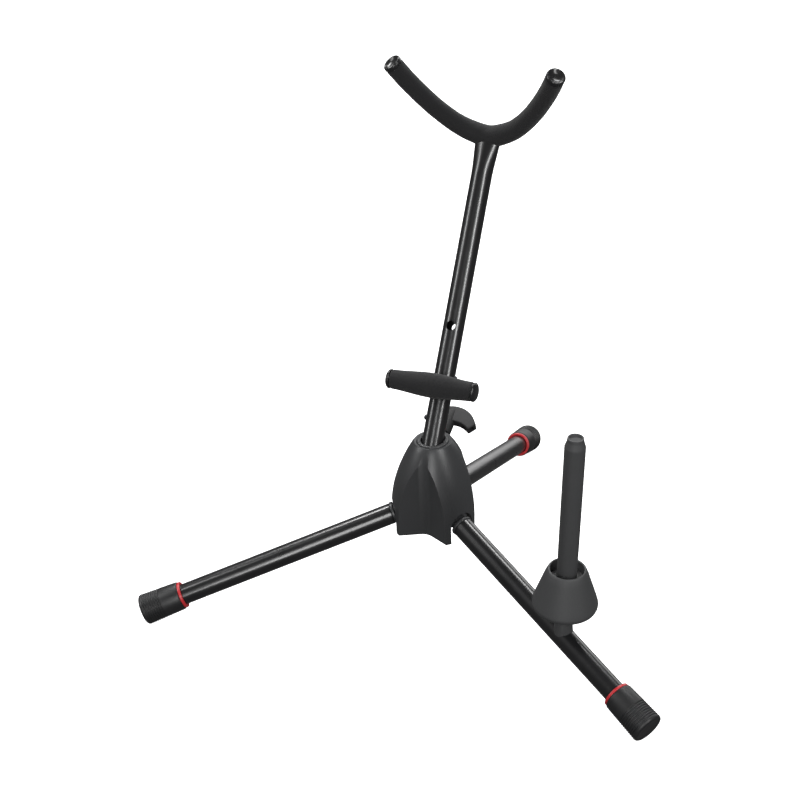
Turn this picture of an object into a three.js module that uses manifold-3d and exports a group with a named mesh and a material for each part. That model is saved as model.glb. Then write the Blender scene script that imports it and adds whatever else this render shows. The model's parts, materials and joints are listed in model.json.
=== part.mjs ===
// A folding floor stand for a saxophone, with a clarinet peg on one leg.
// Millimetres, +Z up. The origin is on the floor under the middle of the stand, -Y is the front.
import * as THREE from 'three';
import { mergeVertices } from 'three/addons/utils/BufferGeometryUtils.js';
import Module from 'manifold-3d';

const wasm = await Module();
wasm.setup();

// ---- driving dimensions ----
const GAP = 0.3; // clearance between pieces that touch
const ROUND = 20; // sides of a round piece

const legDiameter = 19;
const legWall = 1.4;
const legSlope = THREE.MathUtils.degToRad(18.4);
const legReach = 236.3; // hub axis to the middle of the coloured ring, along the floor
const legTurns = { left: 210, right: 330, rear: 90 }; // degrees about +Z
const pivotRadius = 27; // hub axis to a leg's pivot pin

const footLength = 39.2;
const footEndRadius = 14.3;
const footNeckRadius = 13.1;
const footRingWidth = 2.4;
const footRingRadius = 12.3;

const hubTop = 164;
const hubBottom = 77;
const hubRadius = 39.6;
const hubWall = 2.8;
const hubNeckRadius = 17.2;
const skirtTop = 96; // the bell's side is upright below this
const bellFullness = 0.86; // 1 is a quarter sine wave, less is fuller
const lobeHalfWidth = 16.2;
const valleyRadius = 21; // at the hub's foot
const valleyTurn = 150; // the valley's crease leans out up to here, and in above it
const valleyLeanOut = 0.0253;
const valleyLeanIn = -0.42;
const mouthHalfWidth = 12.6;
const mouthRise = 2;
const lipRadius = 14.2;
const lipHeight = 3;
const lipProud = 1.3;

const postDiameter = 19.1;
const postWall = 1.5;
const postLean = THREE.MathUtils.degToRad(33.9); // backwards, from upright
const postForward = 10.3; // how far in front of the hub axis the post's foot is seated
const postFootHeight = 150;
const postLength = 294.8; // post foot to the yoke's low point
const postSeat = -4; // lower end of the tube, along the post from its foot
const crownLength = 40;
const crownWidth = 24;
const crownDepth = 12.5;

const yokeHalfWidth = 75;
const yokeDepth = 86;
const yokeRise = THREE.MathUtils.degToRad(27.1); // the yoke's plane above square to the post
const yokeRodDiameter = 9.5;
const yokeFoamDiameter = 17.4;
const yokeSteps = 20; // straight pieces along the yoke
const capRoom = 4; // the end caps' share of the yoke's depth

const restHeight = 63.5; // along the post from its foot
const spareHoleHeight = 120;
const restHoleDiameter = 8.6;
const restForward = 29.2;
const restHalfLength = 38;
const restRodDiameter = 10;
const restFoamEnd = 17.6;
const restFoamMiddle = 22.4;

const lowButtonHeight = 36.5;
const highButtonHeight = 74.5;
const buttonDiameter = 5;
const buttonProud = 2.6;

const clampRise = THREE.MathUtils.degToRad(19); // the clamp screw's rise from level, backwards
const clampHeight = 5; // where the screw meets the post's rear wall, along the post from its foot
const clampHoleRadius = 3.2;
const screwRadius = 2.8;
const knobStart = 6.2 + hubRadius / 2; // just clear of the hub's rear lobe
const knobLength = 28;
const wingThickness = 6.4;

const pegReach = 171; // hub axis to the peg's seat, along the floor
const pegLean = THREE.MathUtils.degToRad(3); // outwards, from upright
const pegDiameter = 17.2;
const pegTopAbove = 200; // peg's tip above the leg's axis
const pegTipDiameter = 10.8;
const pegTipLength = 11;
const coneBottomAbove = 34;
const coneHeight = 38;
const coneBottomDiameter = 56;
const coneTopDiameter = 33;

// ---- finishes ----
const finish = (color, roughness, metalness) =>
  new THREE.MeshStandardMaterial({ color, roughness, metalness });
const blackPaint = finish(0x17181a, 0.32, 0.4);
const blackPlastic = finish(0x2b2c2e, 0.5, 0);
const blackFoam = finish(0x1e1e1f, 0.95, 0);
const blackRubber = finish(0x161617, 0.8, 0);
const redPlastic = finish(0xc03038, 0.45, 0);
const bareSteel = finish(0x9a9ca0, 0.35, 1);

// ---- solid helpers ----
function signedVolume(position, index) {
  const [a, b, c] = [new THREE.Vector3(), new THREE.Vector3(), new THREE.Vector3()];
  let total = 0;
  for (let i = 0; i < index.count; i += 3) {
    a.fromBufferAttribute(position, index.getX(i));
    b.fromBufferAttribute(position, index.getX(i + 1));
    c.fromBufferAttribute(position, index.getX(i + 2));
    total += a.dot(b.cross(c)) / 6;
  }
  return total;
}

// Shared vertices only, with the faces pointing out.
function closed(geometry) {
  geometry.deleteAttribute('normal');
  geometry.deleteAttribute('uv');
  const merged = mergeVertices(geometry, 1e-4);
  if (signedVolume(merged.attributes.position, merged.index) < 0) merged.index.array.reverse();
  return merged;
}

function toManifold(geometry) {
  const merged = closed(geometry.clone());
  const mesh = new wasm.Mesh({
    numProp: 3,
    vertProperties: new Float32Array(merged.attributes.position.array),
    triVerts: new Uint32Array(merged.index.array),
  });
  mesh.merge();
  return new wasm.Manifold(mesh);
}

function toGeometry(manifold) {
  const mesh = manifold.getMesh();
  const geometry = new THREE.BufferGeometry();
  geometry.setAttribute('position', new THREE.BufferAttribute(mesh.vertProperties, 3));
  geometry.setIndex(new THREE.BufferAttribute(mesh.triVerts, 1));
  return geometry;
}

const cut = (body, ...tools) =>
  toGeometry(tools.reduce((m, t) => m.subtract(toManifold(t)), toManifold(body)));
const join = (body, ...more) => toGeometry(more.reduce((m, t) => m.add(toManifold(t)), toManifold(body)));
const common = (a, b) => toGeometry(toManifold(a).intersect(toManifold(b)));

// A turned solid about +Z from [radius, height] points, first and last on the axis.
function turned(points, sides = ROUND) {
  const profile = points.map(([r, z]) => new THREE.Vector2(r, z));
  return closed(new THREE.LatheGeometry(profile, sides).rotateX(Math.PI / 2));
}

// A turned ring about +Z from a loop of [radius, height] points.
const turnedLoop = (points, sides = ROUND) => turned([...points, points[0]], sides);
const rod = (radius, low, high, sides = ROUND) =>
  turned([[0, low], [radius, low], [radius, high], [0, high]], sides);
const tube = (outer, inner, low, high, sides = ROUND) =>
  turnedLoop([[inner, low], [outer, low], [outer, high], [inner, high]], sides);
const alongX = (geometry) => geometry.rotateY(Math.PI / 2);
const alongFront = (geometry) => geometry.rotateX(Math.PI / 2);

// A rod with rounded ends.
function roundedRod(radius, low, high, edge, sides = ROUND) {
  const corner = [0, 45, 90].map((deg) => THREE.MathUtils.degToRad(deg));
  const bottom = corner.map((t) => [radius - edge + edge * Math.sin(t), low + edge - edge * Math.cos(t)]);
  const top = corner.map((t) => [radius - edge + edge * Math.cos(t), high - edge + edge * Math.sin(t)]);
  return turned([[0, low], ...bottom, ...top, [0, high]], sides);
}

function prism(points, low, high) {
  const shape = new THREE.Shape(points.map(([x, y]) => new THREE.Vector2(x, y)));
  return new THREE.ExtrudeGeometry(shape, { depth: high - low, bevelEnabled: false }).translate(0, 0, low);
}

// A round section swept along a smooth curve.
function swept(curve, radius, steps, sides) {
  const circle = new THREE.Shape();
  circle.absarc(0, 0, radius, 0, Math.PI * 2, false);
  const options = { steps, extrudePath: curve, bevelEnabled: false, curveSegments: sides / 2 };
  return new THREE.ExtrudeGeometry(circle, options);
}

function mesh(name, geometry, material) {
  const piece = new THREE.Mesh(closed(geometry), material);
  piece.name = name;
  return piece;
}

// ---- hub ----
// Radius of the bell at a height, from its neck down to its skirt.
function bellRadius(z) {
  const down = Math.min((hubTop - z) / (hubTop - skirtTop), 1);
  return hubNeckRadius + (hubRadius - hubNeckRadius) * Math.sin((down * Math.PI) / 2) ** bellFullness;
}

function bell(shrink, low, high) {
  const steps = 7;
  const side = [];
  for (let i = 0; i <= steps; i += 1) {
    const z = hubTop - ((hubTop - skirtTop) * i) / steps;
    if (z < high - 0.5) side.push([bellRadius(z) - shrink, z]);
  }
  const top = [bellRadius(high) - shrink, high];
  return turned([[0, high], top, ...side, [hubRadius - shrink, low], [0, low]], 36);
}

// The cutter for the valley that follows a leg: a V that opens outwards, with its crease leaning.
function valleyNotch(turn, grow, low, high, crease, lean) {
  const reach = hubRadius + 6;
  const aside = Math.PI / 3;
  const half = lobeHalfWidth - grow;
  const cornerX = reach * Math.cos(aside) + half * Math.sin(aside) - valleyRadius + grow;
  const cornerY = reach * Math.sin(aside) - half * Math.cos(aside);
  const far = reach * 2;
  const outline = [[0, 0], [cornerX, -cornerY], [far, -cornerY], [far, cornerY], [cornerX, cornerY]];
  const notch = prism(outline, 0, high - low);
  notch.applyMatrix4(new THREE.Matrix4().makeShear(0, 0, 0, 0, lean, 0));
  return atLeg(notch.translate(crease - grow, 0, low), turn + 60);
}

const creaseAtTurn = valleyRadius + valleyLeanOut * (valleyTurn - hubBottom);
const lowerValleys = (grow) => Object.values(legTurns).map((turn) =>
  valleyNotch(turn, grow, hubBottom, valleyTurn, valleyRadius, valleyLeanOut));
const upperValleys = () => Object.values(legTurns).map((turn) =>
  valleyNotch(turn, 0, valleyTurn, hubTop + 1, creaseAtTurn, valleyLeanIn));

const atLeg = (geometry, turn) => geometry.rotateZ(THREE.MathUtils.degToRad(turn));
const pivotHeight = (() => {
  const ringHeight = footEndRadius * Math.cos(legSlope) + footLength * Math.sin(legSlope);
  return ringHeight + (legReach - pivotRadius) * Math.tan(legSlope);
})();
const mouthHeight = pivotHeight - (hubRadius - pivotRadius) * Math.tan(legSlope);

// The way that one leg takes down through its lobe: an arch that is open at the bottom.
function legMouth(turn) {
  const near = pivotRadius - 9;
  const far = hubRadius + 8;
  const arch = alongX(rod(mouthHalfWidth, near, far)).translate(0, 0, mouthHeight + mouthRise);
  const below = new THREE.BoxGeometry(far - near, mouthHalfWidth * 2, 40);
  below.translate((near + far) / 2, 0, mouthHeight + mouthRise - 20);
  return atLeg(join(arch, below), turn);
}

function seatAxis(geometry) {
  return geometry.rotateX(-postLean).translate(0, -postForward, postFootHeight);
}

const seatRadius = postDiameter / 2 + GAP;
const clampStart = [
  clampHeight * Math.sin(postLean) + (postDiameter / 2) * Math.cos(postLean) - postForward,
  clampHeight * Math.cos(postLean) - (postDiameter / 2) * Math.sin(postLean) + postFootHeight,
];
const seatDepth = 40;
const lipMiddle = hubTop + lipProud - lipHeight / 2;
const lipForward = postForward - (lipMiddle - postFootHeight) * Math.tan(postLean);

// Puts a solid made along +Z onto the clamp screw's axis, whose zero is on the post's rear wall.
function onClampAxis(geometry) {
  return geometry.rotateX(clampRise - Math.PI / 2).translate(0, ...clampStart);
}

function hubShell() {
  const hollowTop = hubTop - 26;
  const hollow = cut(bell(hubWall, hubBottom - 1, hollowTop), ...lowerValleys(hubWall));
  const seat = seatAxis(rod(seatRadius, postSeat - GAP, seatDepth));
  const lipSeat = rod(lipRadius + GAP, lipMiddle - lipHeight / 2 - GAP, hubTop + 5, 28);
  const screwHole = onClampAxis(rod(clampHoleRadius, -2, 60));
  const mouths = Object.values(legTurns).map(legMouth);
  const lobes = cut(bell(0, hubBottom, hubTop), ...lowerValleys(0), ...upperValleys());
  const tools = [hollow, seat, lipSeat.translate(0, -lipForward, 0), screwHole, ...mouths];
  return mesh('hub_shell', cut(lobes, ...tools), blackPlastic);
}

// The block inside the hub: a column with a pair of cheeks for each leg's pin.
const cheekInner = 5;
const cheekOuter = 9;
const coreTop = 132;
const pinRadius = 2.5;
const pinFit = 0.07;
const eyeRadius = 7.8;
const swingRadius = 8.4; // room for a leg's knuckle to turn
function hubCore() {
  let body = rod(13.5, pivotHeight - 8, coreTop, 24);
  for (const turn of Object.values(legTurns)) {
    for (const side of [-1, 1]) {
      const middle = side * (cheekInner + cheekOuter) / 2;
      const arm = new THREE.BoxGeometry(pivotRadius - 6, cheekOuter - cheekInner, 15.6);
      arm.translate((pivotRadius + 6) / 2, middle, pivotHeight);
      const halfCheek = (cheekOuter - cheekInner) / 2;
      const eye = rod(eyeRadius, -halfCheek, halfCheek, 14).rotateX(Math.PI / 2);
      eye.translate(pivotRadius, middle, pivotHeight);
      body = join(body, atLeg(arm, turn), atLeg(eye, turn));
    }
  }
  const holes = Object.values(legTurns).map((turn) => {
    const hole = rod(pinRadius + pinFit, -20, 20, 14).rotateX(Math.PI / 2);
    return atLeg(hole.translate(pivotRadius, 0, pivotHeight), turn);
  });
  const swing = Object.values(legTurns).map((turn) => {
    const round = rod(swingRadius, -cheekInner, cheekInner, 16).rotateX(Math.PI / 2);
    return atLeg(round.translate(pivotRadius, 0, pivotHeight), turn);
  });
  return mesh('hub_core', cut(body, ...holes, ...swing), blackPlastic);
}

// The level lip around the post, let into the hub's top.
function postCollar() {
  const low = lipMiddle - lipHeight / 2;
  const high = lipMiddle + lipHeight / 2;
  const edge = 0.6;
  const rim = [[lipRadius, low], [lipRadius, high - edge], [lipRadius - edge, high]];
  const disc = turned([[0, low], ...rim, [0, high]], 28);
  const bore = seatAxis(rod(postDiameter / 2 + 0.15, 0, seatDepth, 28));
  return mesh('post_collar', cut(disc.translate(0, -lipForward, 0), bore), blackPlastic);
}

function pivotPin(name, turn) {
  const pin = roundedRod(pinRadius, -cheekOuter - 1, cheekOuter + 1, 0.4, 14).rotateX(Math.PI / 2);
  return mesh(`pivot_pin_${name}`, atLeg(pin.translate(pivotRadius, 0, pivotHeight), turn), bareSteel);
}

function clampScrew() {
  const start = 3;
  const point = screwRadius - 1;
  const end = knobStart - GAP;
  const profile = [[0, start], [point, start], [screwRadius, start + 1.2], [screwRadius, end], [0, end]];
  const screw = turned(profile, 14);
  return mesh('clamp_screw', onClampAxis(screw), bareSteel);
}

// A boss with one long drooping wing and one short wing. Its zero is at the boss's inner end.
function wingKnob() {
  const side = [[5.8, 0], [6.2, 1.5], [5.6, knobLength - 3], [4.4, knobLength]];
  const boss = turned([[0, 0], ...side, [0, knobLength]], 16);
  const outline = new THREE.Shape();
  outline.moveTo(-12, 22);
  outline.quadraticCurveTo(-11.5, 29.5, 1, 30.9);
  outline.quadraticCurveTo(13, 31.5, 21.8, 21.6);
  outline.lineTo(27, 14);
  outline.lineTo(21.5, 6.5);
  outline.quadraticCurveTo(14, 13.3, 6, 13.3);
  outline.quadraticCurveTo(-5, 13.8, -9, 17.5);
  outline.lineTo(-12, 22);
  const bevel = { bevelEnabled: true, bevelThickness: 1, bevelSize: 0.8, bevelSegments: 1 };
  const wing = new THREE.ExtrudeGeometry(outline, { depth: wingThickness, curveSegments: 5, ...bevel });
  wing.translate(0, 0, -wingThickness / 2).rotateX(Math.PI / 2);
  return mesh('wing_knob', onClampAxis(join(boss, wing).translate(0, 0, knobStart)), blackPlastic);
}

// ---- legs: made lying along +X from the pivot, then sloped and turned ----
const alongLeg = (radiusOnFloor) => (radiusOnFloor - pivotRadius) / Math.cos(legSlope);
const ringMiddle = alongLeg(legReach);
const tubeStart = 13.5;
const legSpigot = 6;

function legKnuckle(name) {
  const eye = rod(7.2, -cheekInner + GAP, cheekInner - GAP, 20).rotateX(Math.PI / 2);
  const armLength = tubeStart - 3;
  const arm = new THREE.BoxGeometry(armLength, (cheekInner - GAP) * 2, 12).translate(armLength / 2, 0, 0);
  const flange = alongX(rod(10.2, tubeStart - 3.5, tubeStart - GAP));
  const spigot = alongX(rod(legDiameter / 2 - legWall - GAP, tubeStart - 3, tubeStart + 14));
  const hole = rod(pinRadius + pinFit, -8, 8, 14).rotateX(Math.PI / 2);
  return mesh(`leg_knuckle_${name}`, cut(join(eye, arm, flange, spigot), hole), blackPlastic);
}

function legTube(name) {
  const outer = legDiameter / 2;
  const end = ringMiddle + footRingWidth + legSpigot + 20;
  return mesh(`leg_tube_${name}`, alongX(tube(outer, outer - legWall, tubeStart, end)), blackPaint);
}

function footRing(name) {
  const bore = legDiameter / 2 + GAP;
  const low = ringMiddle - footRingWidth / 2;
  const high = ringMiddle + footRingWidth / 2;
  const outside = [[footRingRadius - 0.6, low], [footRingRadius, low + 0.6], [footRingRadius, high]];
  const loop = [[bore, low], ...outside, [bore, high]];
  return mesh(`foot_ring_${name}`, alongX(turnedLoop(loop, 24)), redPlastic);
}

// A rubber cup over the end of a leg, a little wider at its closed end.
function footCup(name) {
  const bore = legDiameter / 2 + GAP;
  const low = ringMiddle + footRingWidth / 2 + GAP;
  const high = ringMiddle + footLength;
  const profile = [[0, high - 7], [bore, high - 7], [bore, low], [footNeckRadius - 0.6, low],
    [footNeckRadius, low + 0.8], [footEndRadius, high - 2.2], [footEndRadius - 1.8, high], [0, high]];
  return mesh(`foot_cup_${name}`, alongX(turned(profile, 24)), blackRubber);
}

// ---- peg: made upright on the right leg ----
const pegLegPosition = alongLeg(pegReach);

function pegBoss() {
  const boss = turned([[0, 2], [7.5, 2], [7.5, coneBottomAbove + 3], [0, coneBottomAbove + 3]], 24);
  const saddle = turned([[0, 2], [10.5, 2], [9, 16], [0, 16]], 24);
  const leg = alongX(rod(legDiameter / 2 + GAP, -60, 60)).rotateY(legSlope - pegLean);
  const well = rod(4.3, coneBottomAbove - 18, coneBottomAbove + 10, 20);
  return mesh('peg_boss', cut(join(boss, saddle), leg, well), blackPlastic);
}

// A skirt, open below, with a round well in its top that the peg stands in.
function pegCone() {
  const low = coneBottomAbove;
  const high = low + coneHeight;
  const bottom = coneBottomDiameter / 2;
  const top = coneTopDiameter / 2;
  const wellFloor = high - 9;
  const wall = 3;
  return mesh('peg_cone', turnedLoop([
    [bottom - wall, low], [bottom - 1.5, low], [bottom, low + 2], [bottom - 0.4, low + 5],
    [top + 2.2, high - 6], [top, high - 1.5], [top - 0.8, high], [top - 2.2, high - 0.4],
    [top - 3, wellFloor], [4.6, wellFloor], [4.6, low + 3 + GAP], [8.5, low + 3 + GAP], [8.5, low + 12],
    [12, high - 14],
  ], 28), blackPlastic);
}

function pegShaft() {
  const radius = pegDiameter / 2;
  const low = coneBottomAbove + coneHeight - 9 + GAP;
  const tip = pegTipDiameter / 2;
  const shaft = turned([
    [0, low], [radius - 0.2, low], [radius, low + 30], [radius, pegTopAbove - pegTipLength],
    [tip + 0.9, pegTopAbove - 1.2], [tip, pegTopAbove - 0.3], [0, pegTopAbove],
  ], 24);
  const well = rod(4.3, low - 2, low + 20, 14);
  return mesh('peg_shaft', cut(shaft, well), blackPlastic);
}

function pegStud() {
  const low = coneBottomAbove - 16;
  return mesh('peg_stud', roundedRod(4, low, coneBottomAbove + coneHeight + 8, 0.5, 14), bareSteel);
}

// ---- post group: z along the post, -y to its front ----
const crossHole = (height, radius) => alongFront(rod(radius, -30, 30, 16)).translate(0, 0, height);
const sideHole = (height, side) =>
  alongX(rod(buttonDiameter / 2 + 0.06, 2, 30, 12)).scale(side, 1, 1).translate(0, 0, height);

function postTube() {
  const outer = postDiameter / 2;
  const body = tube(outer, outer - postWall, postSeat, postLength - crownLength, 24);
  return mesh('post_tube', cut(
    body,
    crossHole(restHeight, restHoleDiameter / 2),
    crossHole(spareHoleHeight, restHoleDiameter / 2),
    sideHole(lowButtonHeight, -1),
    sideHole(highButtonHeight, 1),
  ), blackPaint);
}

// The tube's top, pressed flat from front to back and widened, with a saddle for the yoke rod.
function postCrown() {
  const low = postLength - crownLength + GAP;
  const high = postLength + 2;
  const outer = postDiameter / 2;
  const steps = 6;
  const profile = [[0, low]];
  for (let i = 0; i <= steps; i += 1) profile.push([outer, low + ((high - low) * i) / steps]);
  profile.push([0, high]);
  const body = turned(profile, 24);
  const place = body.attributes.position;
  for (let i = 0; i < place.count; i += 1) {
    const t = THREE.MathUtils.smoothstep(place.getZ(i), low + 2, high);
    place.setX(i, place.getX(i) * (1 + (crownWidth / postDiameter - 1) * t));
    place.setY(i, place.getY(i) * (1 + (crownDepth / postDiameter - 1) * t));
  }
  const foam = swept(yokeCurve(), yokeFoamDiameter / 2 + GAP, yokeSteps, 14);
  return mesh('post_crown', cut(body, foam), blackPaint);
}

// Centre line of the yoke: a deep rounded V in a plane that rises to the front.
function yokeCurve() {
  const shape = [0.055, 0.16, 0.315, 0.475, 0.66, 0.82, 1];
  const across = [0.195, 0.375, 0.54, 0.675, 0.805, 0.905, 1];
  const arm = shape.map((v, i) => [across[i] * (yokeHalfWidth - capRoom * 0.4), v * (yokeDepth - capRoom)]);
  const points = [...arm.map(([x, v]) => [-x, v]).reverse(), [0, 0], ...arm];
  return new THREE.CatmullRomCurve3(points.map(([x, v]) =>
    new THREE.Vector3(x, -v * Math.cos(yokeRise), postLength + v * Math.sin(yokeRise))));
}

// Puts a solid made along +Z onto one end of the yoke, pointing outwards.
function onYokeEnd(geometry, side) {
  const curve = yokeCurve();
  const end = curve.getPoint(side < 0 ? 0 : 1);
  const way = curve.getTangent(side < 0 ? 0 : 1).multiplyScalar(side);
  const turn = new THREE.Quaternion().setFromUnitVectors(new THREE.Vector3(0, 0, 1), way);
  return geometry.applyQuaternion(turn).translate(end.x, end.y, end.z);
}

function yokeFoam() {
  const outer = swept(yokeCurve(), yokeFoamDiameter / 2, yokeSteps, 14);
  const boreRadius = yokeRodDiameter / 2 + GAP;
  const bore = swept(yokeCurve(), boreRadius, yokeSteps, 10);
  const mouths = [-1, 1].map((side) => onYokeEnd(rod(boreRadius, -1, 3, 24), side));
  return mesh('yoke_foam', cut(outer, bore, ...mouths), blackFoam);
}

function yokeRod() {
  return mesh('yoke_rod', swept(yokeCurve(), yokeRodDiameter / 2, yokeSteps, 10), blackPaint);
}

// A domed cap on each end of the yoke's foam.
function yokeCap(name, side) {
  const radius = yokeFoamDiameter / 2;
  const dome = [[radius, 2], [radius - 1.4, 3.8], [radius - 4.2, 4.8], [0, 5.2]];
  const cap = turned([[0, GAP], [radius, GAP], ...dome], 16);
  return mesh(`yoke_cap_${name}`, onYokeEnd(cap, side), blackRubber);
}

// Snap button: a domed pin through the post's side wall.
function snapButton(name, height, side) {
  const radius = buttonDiameter / 2;
  const tip = postDiameter / 2 + buttonProud;
  const button = turned([
    [0, 4.5], [radius + 1, 4.5], [radius + 1, 5.8], [radius, 5.8],
    [radius, tip - 1.6], [radius * 0.72, tip - 0.5], [0, tip],
  ], 12);
  return mesh(`snap_button_${name}`, alongX(button).scale(side, 1, 1).translate(0, 0, height), bareSteel);
}

// ---- rest group: z along the post, -y to the front ----
const restBarY = -restForward;

function restStem() {
  const radius = restHoleDiameter / 2 - 0.18;
  const reach = restForward - restRodDiameter / 2 - GAP;
  const stem = turned([[0, -14], [radius - 0.6, -14], [radius, -13.2], [radius, reach], [0, reach]], 20);
  const shoulder = rod(6.6, postDiameter / 2 + GAP, 12.5, 24);
  return mesh('rest_stem', join(alongFront(stem), alongFront(shoulder)), blackPaint);
}

function restBar() {
  return mesh('rest_bar', alongX(roundedRod(restRodDiameter / 2, -restHalfLength, restHalfLength, 0.8, 14))
    .translate(0, restBarY, 0), blackPaint);
}

// Foam sleeve: thick in the middle, slimmer at its ends, with a way in for the stem.
function restFoam() {
  const bore = restRodDiameter / 2 + GAP;
  const end = restHalfLength - 0.5;
  const steps = 8;
  const skin = [];
  for (let i = 0; i <= steps; i += 1) {
    const x = -end + (2 * end * i) / steps;
    const swell = Math.cos((x / end) * Math.PI / 2) ** 2;
    skin.push([(restFoamEnd + (restFoamMiddle - restFoamEnd) * swell) / 2, x]);
  }
  const sleeve = alongX(turnedLoop([[bore, -end], ...skin, [bore, end]], 18));
  const way = alongFront(rod(restHoleDiameter / 2 + GAP, -40, 0, 16));
  return mesh('rest_foam', cut(sleeve, way).translate(0, restBarY, 0), blackFoam);
}

function restCap(name, side) {
  const radius = restFoamEnd / 2;
  const cap = turned([[0, 0], [radius, 0], [radius, 2.2], [radius - 1.6, 3.6], [0, 4.4]], 18);
  return mesh(`rest_cap_${name}`, alongX(cap.translate(0, 0, restHalfLength + GAP)).scale(side, 1, 1)
    .translate(0, restBarY, 0), blackRubber);
}

// ---- assembly ----
function legGroup(name) {
  const turnGroup = new THREE.Group();
  turnGroup.rotation.z = THREE.MathUtils.degToRad(legTurns[name]);
  const slopeGroup = new THREE.Group();
  slopeGroup.position.set(pivotRadius, 0, pivotHeight);
  slopeGroup.rotation.y = legSlope;
  slopeGroup.add(legKnuckle(name), legTube(name), footRing(name), footCup(name));
  if (name === 'right') {
    const peg = new THREE.Group();
    peg.position.x = pegLegPosition;
    peg.rotation.y = pegLean - legSlope;
    peg.add(pegBoss(), pegCone(), pegShaft(), pegStud());
    slopeGroup.add(peg);
  }
  turnGroup.add(slopeGroup);
  return turnGroup;
}

function postGroup() {
  const post = new THREE.Group();
  post.position.set(0, -postForward, postFootHeight);
  post.rotation.x = -postLean;
  post.add(postTube(), postCrown(), yokeRod(), yokeFoam(), yokeCap('left', -1), yokeCap('right', 1));
  post.add(snapButton('low', lowButtonHeight, -1), snapButton('high', highButtonHeight, 1));
  const rest = new THREE.Group();
  rest.position.z = restHeight;
  rest.add(restStem(), restBar(), restFoam(), restCap('left', -1), restCap('right', 1));
  post.add(rest);
  return post;
}

const stand = new THREE.Group();
stand.add(hubShell(), hubCore(), postCollar(), clampScrew(), wingKnob());
for (const name of Object.keys(legTurns)) {
  stand.add(pivotPin(name, legTurns[name]), legGroup(name));
}
stand.add(postGroup());

// The origin goes to the floor, under the middle of the whole stand.
const group = new THREE.Group();
group.add(stand);
group.updateMatrixWorld(true);
const box = new THREE.Box3();
stand.traverse((piece) => {
  if (piece.isMesh) box.expandByObject(piece, true);
});
stand.position.set(-(box.min.x + box.max.x) / 2, -(box.min.y + box.max.y) / 2, -box.min.z);

export default group;
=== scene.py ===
"""Looks of a folding floor stand for a saxophone, in the CAD model's frame, in metres."""

import json
import logging
import math
from dataclasses import dataclass, field
from enum import Enum
from typing import Callable, Sequence

import bmesh
import bpy
from mathutils import Matrix, Vector, noise


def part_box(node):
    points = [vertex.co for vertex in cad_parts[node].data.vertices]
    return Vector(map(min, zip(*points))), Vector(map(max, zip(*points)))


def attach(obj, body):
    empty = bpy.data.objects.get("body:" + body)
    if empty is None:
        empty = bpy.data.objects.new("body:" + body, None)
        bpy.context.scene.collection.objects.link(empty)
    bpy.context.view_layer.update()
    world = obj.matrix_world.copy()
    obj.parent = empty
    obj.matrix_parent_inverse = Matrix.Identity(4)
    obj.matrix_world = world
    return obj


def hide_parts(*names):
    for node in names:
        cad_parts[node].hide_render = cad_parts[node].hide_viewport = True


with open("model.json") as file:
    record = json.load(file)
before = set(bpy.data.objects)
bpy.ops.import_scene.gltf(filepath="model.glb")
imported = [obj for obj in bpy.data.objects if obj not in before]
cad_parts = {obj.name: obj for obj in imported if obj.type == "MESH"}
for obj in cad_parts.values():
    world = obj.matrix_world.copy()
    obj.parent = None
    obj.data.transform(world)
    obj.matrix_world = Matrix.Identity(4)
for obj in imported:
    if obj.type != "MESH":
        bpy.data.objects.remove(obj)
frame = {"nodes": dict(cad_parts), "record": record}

LOG = logging.getLogger("stand")
MM = 0.001
ROUND = 96
RECORD = frame["record"]
JOINTS = {joint["name"]: joint for joint in RECORD["behaviour"]["joints"]}
MOUNTS = {mount["name"]: mount for mount in RECORD["mounts"]}
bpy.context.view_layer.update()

Point = tuple[float, ...]
Mesh = bmesh.types.BMesh
PIN_OUT = 27.0  # from the hub's axis to a leg's pin, in mm
REST_OUT = 29.2  # from the post's axis to the rest's bar, in mm


class Side(Enum):
    """The three legs, by where they stand."""

    LEFT = "left"
    RIGHT = "right"
    REAR = "rear"


class Way(Enum):
    """What a boolean step does with its tool."""

    CUT = "DIFFERENCE"
    JOIN = "UNION"


# ---------------------------------------------------------------- shading


class Value:
    """A shader socket that takes part in Python arithmetic."""

    def __init__(self, shader: "Shader", socket: bpy.types.NodeSocket) -> None:
        """Wraps one output socket of a shader's tree."""
        self.shader = shader
        self.socket = socket

    def _math(self, operation: str, other: "Value | float", flipped: bool = False) -> "Value":
        """Adds a Math node between this value and another."""
        pair = (other, self) if flipped else (self, other)
        return self.shader.math(operation, *pair)

    def __add__(self, other: "Value | float") -> "Value":
        """self + other."""
        return self._math("ADD", other)

    def __radd__(self, other: float) -> "Value":
        """other + self."""
        return self._math("ADD", other, True)

    def __sub__(self, other: "Value | float") -> "Value":
        """self - other."""
        return self._math("SUBTRACT", other)

    def __rsub__(self, other: float) -> "Value":
        """other - self."""
        return self._math("SUBTRACT", other, True)

    def __mul__(self, other: "Value | float") -> "Value":
        """self * other."""
        return self._math("MULTIPLY", other)

    def clamped(self) -> "Value":
        """Held between 0 and 1."""
        return self.shader.map_range(self, 0.0, 1.0, 0.0, 1.0)


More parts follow.
